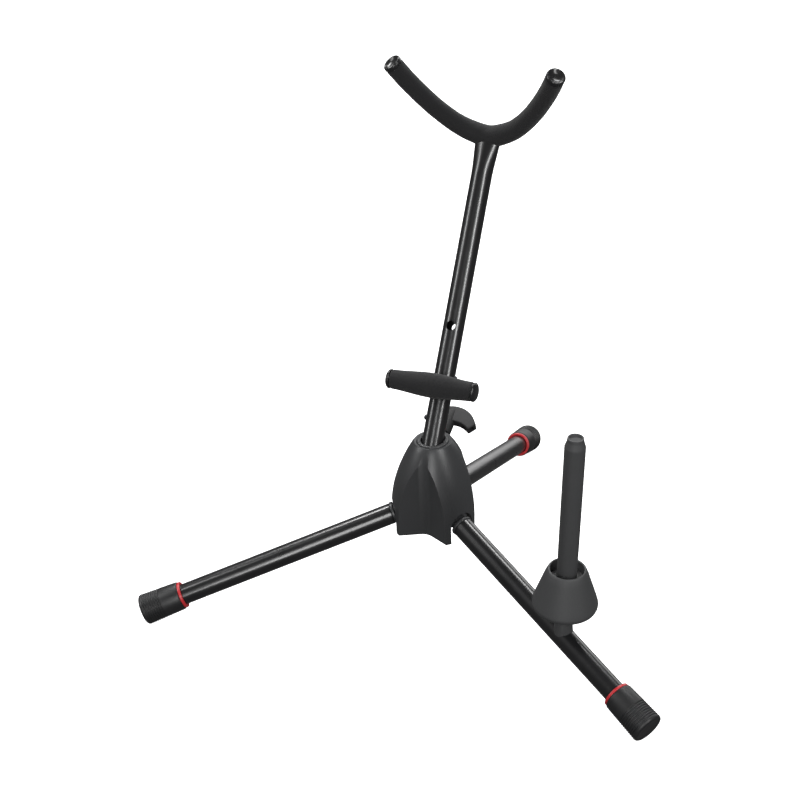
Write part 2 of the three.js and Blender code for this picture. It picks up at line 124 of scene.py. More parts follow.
class Shader:
    """A material's node tree, built through one node method."""

    def __init__(self, name: str) -> None:
        """Starts a material with its Principled surface."""
        self.material = bpy.data.materials.new(name)
        self.material.use_nodes = True
        self.tree = self.material.node_tree
        self.surface = next(n for n in self.tree.nodes if n.type == "BSDF_PRINCIPLED")

    def _feed(self, socket: bpy.types.NodeSocket, value: object) -> None:
        """Links a Value to a socket, or sets the socket's own value."""
        if isinstance(value, Value):
            self.tree.links.new(value.socket, socket)
        else:
            socket.default_value = value

    def node(self, kind: str, settings: dict | None = None, inputs: dict | None = None) -> bpy.types.Node:
        """Adds a node.

        Args:
            kind: the node's type name.
            settings: properties to set on it.
            inputs: socket names or numbers, with values or links.

        Returns:
            The node.
        """
        made = self.tree.nodes.new(kind)
        for key, value in (settings or {}).items():
            setattr(made, key, value)
        for key, value in (inputs or {}).items():
            if isinstance(key, int):
                socket = made.inputs[key]
            else:
                socket = next(s for s in made.inputs if s.name == key and s.enabled)
            self._feed(socket, value)
        return made

    def out(self, node: bpy.types.Node, name: str) -> Value:
        """A node's shown output of that name."""
        return Value(self, next(s for s in node.outputs if s.name == name and s.enabled))

    def math(self, operation: str, first: object, second: object = 0.0) -> Value:
        """A Math node's result."""
        made = self.node("ShaderNodeMath", {"operation": operation}, {0: first, 1: second})
        return self.out(made, "Value")

    def map_range(self, value: Value, low: float, high: float, to_low: float, to_high: float) -> Value:
        """The value taken from one range to another, clamped."""
        inputs = {"Value": value, "From Min": low, "From Max": high, "To Min": to_low, "To Max": to_high}
        return self.out(self.node("ShaderNodeMapRange", {"clamp": True}, inputs), "Result")

    def place(self) -> Value:
        """Object coordinates, in metres."""
        return self.out(self.node("ShaderNodeTexCoord"), "Object")

    def noise(
        self, scale: float, detail: float = 3.0, rough: float = 0.5, where: Value | None = None
    ) -> Value:
        """A noise pattern's factor, scale in cells per metre."""
        inputs = {"Vector": where or self.place(), "Scale": scale, "Detail": detail, "Roughness": rough}
        return self.out(self.node("ShaderNodeTexNoise", {}, inputs), "Fac")

    def cells(self, scale: float) -> Value:
        """A Voronoi pattern's distance, scale in cells per metre."""
        inputs = {"Vector": self.place(), "Scale": scale}
        return self.out(self.node("ShaderNodeTexVoronoi", {}, inputs), "Distance")

    def stretched(self, factors: Point) -> Value:
        """Object coordinates scaled along each axis."""
        made = self.node("ShaderNodeMapping", {}, {"Vector": self.place(), "Scale": factors})
        return self.out(made, "Vector")

    def blend(self, factor: object, first: Point, second: Point) -> Value:
        """A mix of two colours."""
        inputs = {"Factor": factor, "A": (*first, 1.0), "B": (*second, 1.0)}
        return self.out(self.node("ShaderNodeMix", {"data_type": "RGBA"}, inputs), "Result")

    def edges(self, radius: float) -> Value:
        """Where the surface turns sharply, 0 on flat stretches to 1 on edges."""
        bevel = self.out(self.node("ShaderNodeBevel", {"samples": 4}, {"Radius": radius}), "Normal")
        true_normal = self.out(self.node("ShaderNodeNewGeometry"), "Normal")
        dot = self.node("ShaderNodeVectorMath", {"operation": "DOT_PRODUCT"}, {0: bevel, 1: true_normal})
        return self.map_range(self.out(dot, "Value"), 0.995, 0.9, 0.0, 1.0)

    def bumped(self, *layers: tuple[Value, float]) -> None:
        """Feeds the surface's normal with bump layers of (height, depth in metres)."""
        normal: Value | None = None
        for height, depth in layers:
            inputs: dict = {"Height": height, "Distance": depth, "Strength": 1.0}
            if normal is not None:
                inputs["Normal"] = normal
            normal = self.out(self.node("ShaderNodeBump", {}, inputs), "Normal")
        self._feed(self.surface.inputs["Normal"], normal)

    def sockets(self, **values: object) -> None:
        """Sets or links the surface's sockets, with _ for a space in a name."""
        for name, value in values.items():
            self._feed(self.surface.inputs[name.replace("_", " ")], value)


@dataclass(frozen=True)
class SatinPaint:
    """Satin black coat on steel tube: fine orange peel, faint dust and rubbed edges."""

    base: Point = (0.005, 0.005, 0.0055)
    worn: Point = (0.02, 0.02, 0.021)
    roughness: float = 0.24

    def build(self, name: str) -> bpy.types.Material:
        """Makes the material."""
        shader = Shader(name)
        dust = shader.noise(38.0, 5.0, 0.65)
        streaks = shader.noise(210.0, 4.0, 0.7, shader.stretched((1.0, 1.0, 0.35)))
        scuff = shader.map_range(streaks, 0.6, 0.78, 0, 1)
        shader.sockets(
            Base_Color=shader.blend((dust * 0.45 + scuff * 0.35).clamped(), self.base, self.worn),
            Roughness=self.roughness + dust * 0.1 + scuff * 0.12,
            Metallic=0.0,
            Coat_Weight=0.35 - scuff * 0.2,
            Coat_Roughness=0.16,
            Specular_IOR_Level=0.55,
        )
        shader.bumped((shader.noise(900.0, 2.0), 0.000012), (shader.noise(150.0, 1.0), 0.000018))
        return shader.material


@dataclass(frozen=True)
class MouldedPlastic:
    """Satin moulded plastic with a spark-eroded grain and paler rubbed edges."""

    base: Point = (0.03, 0.031, 0.0325)
    pale: Point = (0.05, 0.051, 0.053)
    roughness: float = 0.34
    grain: float = 0.00004

    def build(self, name: str) -> bpy.types.Material:
        """Makes the material."""
        shader = Shader(name)
        cloud = shader.noise(26.0, 4.0, 0.6)
        grain = shader.noise(1500.0, 2.0, 0.6)
        rub = shader.edges(0.0008)
        shader.sockets(
            Base_Color=shader.blend((cloud * 0.5 + rub * 0.35).clamped(), self.base, self.pale),
            Roughness=self.roughness + grain * 0.1 - rub * 0.08,
            Specular_IOR_Level=0.5,
        )
        shader.bumped((grain, self.grain), (shader.noise(120.0, 2.0), 0.00004))
        return shader.material


@dataclass(frozen=True)
class FoamCover:
    """Closed-cell foam: tiny pores, soft mottling, no shine."""

    base: Point = (0.0075, 0.0075, 0.008)
    pale: Point = (0.016, 0.016, 0.017)

    def build(self, name: str) -> bpy.types.Material:
        """Makes the material."""
        shader = Shader(name)
        pores = shader.cells(1700.0)
        cloud = shader.noise(95.0, 4.0, 0.6)
        shader.sockets(
            Base_Color=shader.blend((cloud * 0.6 + pores * 0.4).clamped(), self.base, self.pale),
            Roughness=0.86 + cloud * 0.1,
            Specular_IOR_Level=0.3,
            Sheen_Weight=0.12,
            Sheen_Roughness=0.5,
        )
        shader.bumped((pores, 0.00022), (shader.noise(420.0, 3.0), 0.00018), (cloud, 0.0003))
        return shader.material


@dataclass(frozen=True)
class Rubber:
    """Matte black rubber, with bloom in its hollows and fine mould grain."""

    base: Point = (0.009, 0.009, 0.0095)
    bloom: Point = (0.024, 0.024, 0.025)
    roughness: float = 0.34
    grain: float = 0.00006

    def build(self, name: str) -> bpy.types.Material:
        """Makes the material."""
        shader = Shader(name)
        cloud = shader.noise(60.0, 5.0, 0.65)
        grain = shader.noise(1300.0, 2.0)
        rub = shader.edges(0.0006)
        shader.sockets(
            Base_Color=shader.blend((cloud * 0.55 + rub * 0.3).clamped(), self.base, self.bloom),
            Roughness=self.roughness + cloud * 0.14 + grain * 0.06,
            Specular_IOR_Level=0.45,
        )
        shader.bumped((grain, self.grain), (cloud, self.grain * 2))
        return shader.material


@dataclass(frozen=True)
class RedRing:
    """Bright red moulding with a soft shine and a faint flow pattern."""

    base: Point = (0.56, 0.028, 0.034)
    deep: Point = (0.4, 0.016, 0.022)

    def build(self, name: str) -> bpy.types.Material:
        """Makes the material."""
        shader = Shader(name)
        flow = shader.noise(180.0, 3.0, 0.6)
        shader.sockets(
            Base_Color=shader.blend(flow, self.base, self.deep),
            Roughness=0.34 + flow * 0.14,
            Coat_Weight=0.2 + flow * 0.1,
            Coat_Roughness=0.2,
        )
        shader.bumped((shader.noise(1100.0, 2.0), 0.00003))
        return shader.material


@dataclass(frozen=True)
class TurnedSteel:
    """Machined steel, plated or blackened, with fine tool marks."""

    base: Point = (0.5, 0.51, 0.53)
    dark: Point = (0.3, 0.3, 0.31)
    roughness: float = 0.3

    def build(self, name: str) -> bpy.types.Material:
        """Makes the material."""
        shader = Shader(name)
        marks = shader.noise(700.0, 4.0, 0.7, shader.stretched((1.0, 1.0, 6.0)))
        tarnish = shader.noise(120.0, 4.0, 0.6)
        shader.sockets(
            Base_Color=shader.blend(tarnish, self.base, self.dark),
            Metallic=1.0,
            Roughness=self.roughness + marks * 0.15 + tarnish * 0.1,
        )
        shader.bumped((marks, 0.00003))
        return shader.material


class Finishes(Enum):
    """Every finish on the stand, under its slot in the record."""

    PAINT = ("black_paint", SatinPaint())
    HUB = ("moulded_plastic", MouldedPlastic())
    # Painted shade: the same moulded plastic as the hub, made darker to stand in for the shade on the wing
    # knob.
    KNOB = ("moulded_plastic", MouldedPlastic((0.006, 0.006, 0.0065), (0.014, 0.014, 0.0145), 0.6, 0.00007))
    PEG = ("peg_plastic", MouldedPlastic((0.036, 0.037, 0.038), (0.052, 0.053, 0.055), 0.56, 0.00007))
    FOAM = ("foam_cover", FoamCover())
    RUBBER = ("black_rubber", Rubber())
    CAP = ("black_rubber", Rubber(roughness=0.16, grain=0.000012))
    RED = ("red_ring", RedRing())
    BUTTON = ("dark_button", TurnedSteel((0.09, 0.09, 0.095), (0.04, 0.04, 0.042), 0.36))
    STEEL = ("zinc_steel", TurnedSteel())

    @property
    def slot(self) -> str:
        """The record's material slot."""
        return self.value[0]

    def material(self) -> bpy.types.Material:
        """The finish's material, made once."""
        label = f"finish_{self.name.lower()}"
        return bpy.data.materials.get(label) or self.value[1].build(label)


# ---------------------------------------------------------------- mesh tools


def rounded(points: Sequence[Point], steps: int = 4) -> list[Point]:
    """Rounds the corners of a profile.

    Args:
        points: (radius, height) corners, or (radius, height, rounding) where a corner is rounded.
        steps: straight pieces in each rounding.

    Returns:
        The profile's points.
    """
    result: list[Point] = []
    for i, corner in enumerate(points):
        here = Vector(corner[:2])
        if len(corner) == 2 or i in (0, len(points) - 1):
            result.append(tuple(here))
            continue
        before = Vector(points[i - 1][:2]) - here
        after = Vector(points[i + 1][:2]) - here
        reach = min(corner[2], before.length * 0.49, after.length * 0.49)
        start = here + before.normalized() * reach
        end = here + after.normalized() * reach
        for k in range(steps + 1):
            t = k / steps
            result.append(tuple(start * (1 - t) ** 2 + here * 2 * t * (1 - t) + end * t * t))
    return result


def revolved(points: Sequence[Point], looped: bool = False, sides: int = ROUND) -> Mesh:
    """A solid turned about Z from (radius, height) points in millimetres."""
    bm = bmesh.new()
    verts = [bm.verts.new((r * MM, 0.0, z * MM)) for r, z in points]
    edges = [bm.edges.new(pair) for pair in zip(verts, verts[1:])]
    if looped:
        edges.append(bm.edges.new((verts[-1], verts[0])))
    turn = {"axis": (0, 0, 1), "cent": (0, 0, 0), "angle": math.tau, "steps": sides, "use_merge": True}
    bmesh.ops.spin(bm, geom=[*verts, *edges], **turn)
    return tidied(bm)


def tidied(bm: Mesh) -> Mesh:
    """Merges doubles, drops flat faces and turns the faces outwards."""
    bmesh.ops.remove_doubles(bm, verts=bm.verts[:], dist=2e-6)
    bmesh.ops.dissolve_degenerate(bm, edges=bm.edges[:], dist=1e-6)
    bmesh.ops.recalc_face_normals(bm, faces=bm.faces[:])
    return bm


def rod(radius: float, low: float, high: float, edge: float = 0.4, sides: int = ROUND) -> Mesh:
    """A solid rod along Z with rounded rims."""
    return revolved(rounded([(0, low), (radius, low, edge), (radius, high, edge), (0, high)]), sides=sides)


def turned_to(bm: Mesh, matrix: Matrix) -> Mesh:
    """Moves a mesh by a matrix."""
    bmesh.ops.transform(bm, matrix=matrix, verts=bm.verts[:])
    return bm


def outline_solid(outline: Sequence[Point], low: float, high: float) -> Mesh:
    """A flat outline in X and Y, raised along Z, in millimetres."""
    bm = bmesh.new()
    face = bm.faces.new([bm.verts.new((x * MM, y * MM, low * MM)) for x, y in outline])
    grown = bmesh.ops.extrude_face_region(bm, geom=[face])["geom"]
    moved = [v for v in grown if isinstance(v, bmesh.types.BMVert)]
    bmesh.ops.translate(bm, verts=moved, vec=(0, 0, (high - low) * MM))
    bmesh.ops.recalc_face_normals(bm, faces=bm.faces[:])
    return bm


def combined(base: Mesh, *tools: tuple[Way, Mesh]) -> Mesh:
    """Cuts or joins solids, one after another.

    Args:
        base: the solid that is worked on.
        tools: what to do, and the solid to do it with.

    Returns:
        The finished solid.
    """
    mesh = bpy.data.meshes.new("base")
    base.to_mesh(mesh)
    base.free()
    target = bpy.data.objects.new("base", mesh)
    bpy.context.scene.collection.objects.link(target)
    for way, tool in tools:
        tool_mesh = bpy.data.meshes.new("tool")
        tool.to_mesh(tool_mesh)
        tool.free()
        other = bpy.data.objects.new("tool", tool_mesh)
        bpy.context.scene.collection.objects.link(other)
        step = target.modifiers.new("step", "BOOLEAN")
        step.operation = way.value
        step.solver = "EXACT"
        step.object = other
        bpy.context.view_layer.update()
        evaluated = target.evaluated_get(bpy.context.evaluated_depsgraph_get())
        result = bpy.data.meshes.new_from_object(evaluated)
        target.modifiers.clear()
        target.data = result
        bpy.data.objects.remove(other)
        bpy.data.meshes.remove(tool_mesh)
    bm = bmesh.new()
    bm.from_mesh(target.data)
    bpy.data.objects.remove(target)
    bmesh.ops.remove_doubles(bm, verts=bm.verts[:], dist=4e-6)
    bmesh.ops.dissolve_degenerate(bm, edges=bm.edges[:], dist=4e-6)
    return bm


def shaded(bm: Mesh, sharp: float = 32.0) -> None:
    """Smooth faces, with edges sharper than an angle in degrees kept crisp."""
    for face in bm.faces:
        face.smooth = True
    for edge in bm.edges:
        edge.smooth = not (edge.is_manifold and edge.calc_face_angle(0.0) > math.radians(sharp))


@dataclass
class Piece:
    """One finished piece of the stand."""

    name: str
    finish: Finishes
    body: str
    stands_for: tuple[str, ...] = ()
    place: Matrix = field(default_factory=Matrix)
    bevel: float = 0.0
    fill: float = 0.0
    sharp: float = 32.0

    def make(self, bm: Mesh) -> bpy.types.Object:
        """Turns a mesh into the piece's object.

        Args:
            bm: the mesh in the piece's own place, in metres.

        Returns:
            The object, dressed and riding on its body.
        """
        turned_to(bm, self.place)
        if self.place.determinant() < 0:
            bmesh.ops.reverse_faces(bm, faces=bm.faces[:])
        shaded(bm, self.sharp)
        mesh = bpy.data.meshes.new(self.name)
        bm.to_mesh(mesh)
        bm.free()
        piece = bpy.data.objects.new(self.name, mesh)
        bpy.context.scene.collection.objects.link(piece)
        mesh.materials.append(self.finish.material())
        if self.bevel:
            soft = piece.modifiers.new("soft_edges", "BEVEL")
            soft.width = self.bevel * MM
            soft.segments = 3
            soft.limit_method = "ANGLE"
            soft.angle_limit = math.radians(35)
            soft.harden_normals = True
        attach(piece, self.body)
        if self.stands_for:
            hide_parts(*self.stands_for)
        LOG.info("%s: %d faces", self.name, len(mesh.polygons))
        return piece


def axes_matrix(x: Vector, y: Vector, z: Vector, origin: Vector) -> Matrix:
    """The matrix with these axes and this origin."""
    rows = [[x[i], y[i], z[i], origin[i]] for i in range(3)]
    return Matrix([*rows, [0, 0, 0, 1]])


def along(z: Vector, x: Vector, origin: Vector) -> Matrix:
    """A frame at an origin with Z along one direction and X near another."""
    z = z.normalized()
    y = z.cross(x).normalized()
    return axes_matrix(y.cross(z), y, z, origin)


TO_X = Matrix.Rotation(math.pi / 2, 4, "Y")
TO_FRONT = Matrix.Rotation(math.pi / 2, 4, "X")


# ---------------------------------------------------------------- the stand


@dataclass
class Hub:
    """The three-lobed moulding, the lip round the post and the wing knob."""

    top: float = 164.0
    skirt: float = 96.0
    bottom: float = 77.0
    neck: float = 17.2
    radius: float = 39.6
    wall: float = 2.8
    valley: float = 21.0
    lobe: float = 16.2
    valley_turn: float = 150.0
    lean_out: float = 0.0253
    lean_in: float = -0.42
    crease_soft: float = 6.0
    lip: float = 14.2
    lip_height: float = 3.0
    lip_proud: float = 1.3
    mouth: float = 11.9
    mouth_rise: float = 2.0
    post_foot: float = 150.0
    post_forward: float = 10.3
    roof: float = 26.0
    post_bore: float = 9.85
    lip_bore: float = 10.9
    lip_gap: float = 0.3
    screw_hole: float = 3.2
    wing_half: float = 4.1
    pocket_half: float = 2.2
    turns: tuple[float, ...] = (90.0, 210.0, 330.0)

    @property
    def place(self) -> Matrix:
        """The hub's own frame: its upright axis, with Z measured from the model's floor level."""
        foot = Vector(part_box("hub_shell")[0]).z
        pin = Vector(JOINTS["leg_fold_rear"]["pos_m"])
        return Matrix.Translation((0.0, pin.y - PIN_OUT * MM, foot - self.bottom * MM))

    def bell(self, shrink: float, low: float, high: float) -> Mesh:
        """The round bell that bounds the lobes, smaller by shrink."""
        points: list[Point] = []
        steps = 36
        for i in range(steps + 1):
            down = i / steps
            z = self.top - (self.top - self.skirt) * down
            r = self.neck + (self.radius - self.neck) * math.sin(down * math.pi / 2) ** 0.86
            if z <= high:
                points.append((r - shrink, z))
        return revolved([(0, points[0][1]), *points, (self.radius - shrink, low), (0, low)], sides=144)

    def notch(
        self, turn: float, grow: float, span: Point, crease: float, lean: float, soft: float
    ) -> Mesh:
        """The cutter for one valley: a V that opens outwards, with a softly rounded, leaning crease.

        Args:
            turn: the leg before the valley, in degrees.
            grow: how much larger the cutter is than the valley.
            span: its lower and upper height.
            crease: the crease's radius at the lower height.
            lean: how far the crease leans out for each millimetre up.
            soft: the length of each side that the rounding takes.

        Returns:
            The cutter.
        """
        reach = self.radius + 6
        half = self.lobe - grow
        corner_x = reach / 2 + half * math.sqrt(0.75) - self.valley + grow
        corner_y = reach * math.sqrt(0.75) - half / 2
        low_side = Vector((corner_x, -corner_y)).normalized() * soft
        high_side = Vector((corner_x, corner_y)).normalized() * soft
        bend = [high_side * (1 - k / 8) ** 2 + low_side * (k / 8) ** 2 for k in range(9)]
        far = reach * 2
        outline = [*(tuple(p) for p in bend), (corner_x, -corner_y), (far, -corner_y), (far, corner_y),
                   (corner_x, corner_y)]
        bm = outline_solid(outline, 0.0, span[1] - span[0])
        shear = Matrix.Identity(4)
        shear[0][2] = lean
        turned_to(bm, Matrix.Translation(((crease - grow) * MM, 0, span[0] * MM)) @ shear)
        turned_to(bm, Matrix.Rotation(math.radians(turn + 60), 4, "Z"))
        bmesh.ops.recalc_face_normals(bm, faces=bm.faces[:])
        return bm

    def valleys(self, grow: float, upper: bool) -> list[tuple[Way, Mesh]]:
        """Cutters for the three valleys, the lower stretch and, if asked, the upper one."""
        top_crease = self.valley + self.lean_out * (self.valley_turn - self.bottom)
        stretches = [((self.bottom - 1, self.valley_turn), self.valley - self.lean_out, self.lean_out)]
        if upper:
            stretches.append(((self.valley_turn, self.top + 3), top_crease, self.lean_in))
        soft = self.crease_soft - grow * 0.6
        return [(Way.CUT, self.notch(t, grow, *stretch, soft)) for t in self.turns for stretch in stretches]

    def mouths(self) -> list[tuple[Way, Mesh]]:
        """The arches, open below, that let the legs swing down."""
        pin = Vector(JOINTS["leg_fold_rear"]["pos_m"]) - self.place.translation
        slope = math.atan2(-MOUNTS["foot_end_rear"]["axis"][2], MOUNTS["foot_end_rear"]["axis"][1])
        height = pin.z / MM - (self.radius - PIN_OUT) * math.tan(slope) + self.mouth_rise
        outline = [(-self.mouth, -60.0)]
        for k in range(25):
            t = math.pi - k / 24 * math.pi
            outline.append((self.mouth * math.cos(t), self.mouth * math.sin(t)))
        outline.append((self.mouth, -60.0))
        result = []
        for turn in self.turns:
            arch = outline_solid(outline, 18.0, self.radius + 8)
            stand_up = axes_matrix(Vector((0, -1, 0)), Vector((0, 0, 1)), Vector((-1, 0, 0)), Vector())
            turned_to(arch, Matrix.Rotation(math.pi, 4, "Z") @ stand_up)
            turned_to(arch, Matrix.Translation((0, 0, height * MM)))
            turned_to(arch, Matrix.Rotation(math.radians(turn), 4, "Z"))
            bmesh.ops.recalc_face_normals(arch, faces=arch.faces[:])
            result.append((Way.CUT, arch))
        return result

    def seat(self, radius: float, low: float, high: float) -> Mesh:
        """A rod on the post's axis, in the hub's frame."""
        post = Post()
        return turned_to(rod(radius, low, high, 0.0), self.place.inverted() @ post.place)

    def shell(self) -> bpy.types.Object:
        """The moulded outer shell."""
        inside = self.bell(self.wall, self.bottom - 10, self.top - self.roof)
        hollow = combined(inside, *self.valleys(self.wall, False))
        clamp = turned_to(rod(self.screw_hole, -2, 60, 0.0), self.place.inverted() @ self.clamp_place)
        recess_low = self.lip_middle - self.lip_height / 2 - self.lip_gap
        recess = self.lip_disc(self.lip + self.lip_gap, recess_low, self.top + 5, 0.0)
        bm = combined(
            self.bell(0, self.bottom, self.top),
            *self.valleys(0.0, True),
            (Way.CUT, hollow),
            (Way.CUT, self.seat(self.post_bore, -4.3, 40)),
            (Way.CUT, recess),
            (Way.CUT, clamp),
            *self.mouths(),
        )
        return Piece("hub_moulding", Finishes.HUB, "hub", ("hub_shell",), self.place, 0.7, sharp=28).make(bm)

    @property
    def lip_middle(self) -> float:
        """The height of the lip's middle."""
        return self.top + self.lip_proud - self.lip_height / 2

    def lip_disc(self, radius: float, low: float, high: float, edge: float) -> Mesh:
        """A level disc round the post where it leaves the hub."""
        forward = self.post_forward - (self.lip_middle - self.post_foot) * math.tan(Post().lean)
        return turned_to(rod(radius, low, high, edge), Matrix.Translation((0, -forward * MM, 0)))

    def collar(self) -> bpy.types.Object:
        """The rounded lip let into the hub's top."""
        low = self.lip_middle - self.lip_height / 2
        disc = self.lip_disc(self.lip, low, low + self.lip_height, 1.3)
        bm = combined(disc, (Way.CUT, self.seat(self.lip_bore, 0, 40)))
        return Piece("neck_lip", Finishes.HUB, "hub", ("post_collar",), self.place, 0.5).make(bm)

    @property
    def clamp_place(self) -> Matrix:
        """The clamp screw's frame, Z outwards along it."""
        joint = JOINTS["wing_turn"]
        return along(Vector(joint["axis"]), Vector((1, 0, 0)), Vector(joint["pos_m"]))

    def wing_outline(self) -> list[Point]:
        """The wing knob's outline: one long drooping wing and a short one."""

        def bend(a: Point, b: Point, c: Point, steps: int = 12) -> list[Point]:
            """Points on a curve from a to c that is drawn towards b."""
            va, vb, vc = Vector(a), Vector(b), Vector(c)
            ts = [k / steps for k in range(1, steps + 1)]
            return [tuple(va * (1 - t) ** 2 + vb * 2 * t * (1 - t) + vc * t * t) for t in ts]

        start = (-12.0, 48.0)
        return [
            start,
            *bend(start, (-11.5, 55.5), (1, 56.9)),
            *bend((1, 56.9), (13, 57.5), (21.8, 47.6)),
            (27, 40),
            (21.5, 32.5),
            *bend((21.5, 32.5), (14, 39.3), (6, 39.3)),
            *bend((6, 39.3), (-5, 39.8), (-9, 43.5)),
        ]

    def wing_knob(self) -> bpy.types.Object:
        """The moulded wing knob."""
        profile = [(0, 26), (5.2, 26, 0.5), (6.2, 27.6, 0.8), (5.6, 50, 1.0), (4.4, 53.6, 1.5), (0, 54)]
        boss = revolved(rounded(profile), sides=64)
        wing = outline_solid(self.wing_outline(), -self.wing_half, self.wing_half)
        rim = [e for e in wing.edges if e.calc_face_angle(0.0) > math.radians(40)]
        bevel = {"affect": "EDGES", "segments": 4, "profile": 0.5, "material": -1, "clamp_overlap": True}
        bmesh.ops.bevel(wing, geom=rim, offset=1.5 * MM, **bevel)
        hollow = [(20, 27), (28, 34), (23.8, 40.4), (19.5, 44), (13, 41.5), (15, 36)]
        pocket = outline_solid(hollow, -self.pocket_half, self.pocket_half)
        turned_to(wing, TO_FRONT)
        turned_to(pocket, TO_FRONT)
        bmesh.ops.recalc_face_normals(wing, faces=wing.faces[:])
        bmesh.ops.recalc_face_normals(pocket, faces=pocket.faces[:])
        bm = combined(wing, (Way.CUT, pocket), (Way.JOIN, boss))
        # The knob wears the darker copy of the hub's plastic, with its painted shade.
        return Piece("clamp_wing", Finishes.KNOB, "wing", ("wing_knob",), self.clamp_place, 0.3).make(bm)

    def build(self) -> None:
        """Makes every piece of the hub."""
        self.shell()
        self.collar()
        self.wing_knob()


@dataclass
class Leg:
    """One leg: tube, inner knuckle, coloured ring and rubber cup."""

    side: Side
    diameter: float = 19.0
    tube_wall: float = 1.4
    tube_start: float = 13.5
    pivot: float = PIN_OUT
    reach: float = 236.3
    foot: float = 39.2
    ring_width: float = 2.4
    ring_radius: float = 12.3
    neck_radius: float = 13.1
    end_radius: float = 14.3
    ribs: int = 8
    socket: float = 29.0
    eye: float = 7.15
    eye_half: float = 4.6
    pin_hole: float = 2.57

    @property
    def body(self) -> str:
        """The body this leg is."""
        return f"leg_{self.side.value}"

    @property
    def place(self) -> Matrix:
        """Z runs out along the leg from its pivot, X is the pivot pin's direction."""
        joint = JOINTS[f"leg_fold_{self.side.value}"]
        out = Vector(MOUNTS[f"foot_end_{self.side.value}"]["axis"])
        return along(out, Vector(joint["axis"]), Vector(joint["pos_m"]))

    @property
    def ring_middle(self) -> float:
        """How far along the leg the ring sits."""
        slope = math.asin(-MOUNTS[f"foot_end_{self.side.value}"]["axis"][2])
        return (self.reach - self.pivot) / math.cos(slope)

    def _piece(self, name: str, finish: Finishes, bm: Mesh) -> bpy.types.Object:
        """A piece of this leg that stands for the node of the same purpose."""
        node = f"{name}_{self.side.value}"
        return Piece(f"{node}_fine", finish, self.body, (node,), self.place).make(bm)

    def tube(self) -> None:
        """The painted steel tube."""
        outer = self.diameter / 2
        inner = outer - self.tube_wall
        end = self.ring_middle + self.socket
        profile = [(inner, self.tube_start), (outer - 0.3, self.tube_start), (outer, self.tube_start + 0.3)]
        stations = [self.tube_start + 0.3 + (end - self.tube_start) * k / 12 for k in range(1, 12)]
        profile += [(outer, z) for z in stations] + [(outer, end), (inner, end)]
        self._piece("leg_tube", Finishes.PAINT, revolved(profile, looped=True))

    def knuckle(self) -> None:
        """The moulded knuckle with its eye, flange and spigot."""
        start = self.tube_start
        flange = revolved(rounded([(0, start - 3.4), (9.7, start - 3.4, 0.3), (10.15, start - 2.8, 0.4),
                                   (10.15, start - 0.9, 0.5), (9.6, start - 0.35, 0.3), (7.7, start - 0.35),
                                   (7.7, start + 14, 0.6), (0, start + 14)]))
        eye = turned_to(rod(self.eye, -self.eye_half, self.eye_half, 0.6, 64), TO_X)
        arm = bmesh.new()
        bmesh.ops.create_cube(arm, size=1.0)
        bmesh.ops.scale(arm, verts=arm.verts[:], vec=(2 * self.eye_half * MM, 11.8 * MM, (start - 3) * MM))
        bmesh.ops.translate(arm, verts=arm.verts[:], vec=(0, 0, (start - 3) / 2 * MM))
        hole = turned_to(rod(self.pin_hole, -9, 9, 0.0, 48), TO_X)
        bm = combined(flange, (Way.JOIN, arm), (Way.JOIN, eye), (Way.CUT, hole))
        self._piece("leg_knuckle", Finishes.HUB, bm)

    def ring(self) -> None:
        """The coloured ring."""
        low = self.ring_middle - self.ring_width / 2
        high = self.ring_middle + self.ring_width / 2
        profile = [(9.8, low + 0.3, 0.2), (10.2, low, 0.3), (self.ring_radius, low, 0.9),
                   (self.ring_radius, high, 0.3), (9.8, high)]
        self._piece("foot_ring", Finishes.RED, revolved(rounded(profile), looped=True))

    def cup(self) -> None:
        """The rubber cup: plain neck, ribbed outer half and a domed, rimmed end."""
        low = self.ring_middle + self.ring_width / 2 + 0.3
        high = self.ring_middle + self.foot
        grow = (self.end_radius - self.neck_radius) / (high - 2.2 - low)
        neck = self.neck_radius
        profile: list[Point] = [(0, high - 7), (9.8, high - 7), (9.8, low), (neck - 0.7, low, 0.3),
                                (neck - 0.05, low + 0.8, 0.5)]
        rib_zone = (high - low) * 0.46
        start = high - 2.6 - rib_zone
        pitch = rib_zone / self.ribs
        for i in range(self.ribs):
            z = start + pitch * i
            r = neck + grow * (z - low)
            profile += [(r, z, 0.25), (r - 0.75, z + pitch * 0.22, 0.2), (r - 0.75, z + pitch * 0.5, 0.2),
                        (r + grow * pitch, z + pitch * 0.72, 0.25)]
        profile += [(self.end_radius - 0.05, high - 2.3, 0.6), (self.end_radius - 0.4, high - 0.9, 0.7),
                    (self.end_radius - 1.8, high, 0.8), (self.end_radius - 3.2, high, 0.3),
                    (self.end_radius - 3.7, high - 0.5, 0.3), (0, high - 0.35)]
        self._piece("foot_cup", Finishes.RUBBER, revolved(rounded(profile, 3)))

    def build(self) -> None:
        """Makes every piece of the leg."""
        self.tube()
        self.knuckle()
        self.ring()
        self.cup()


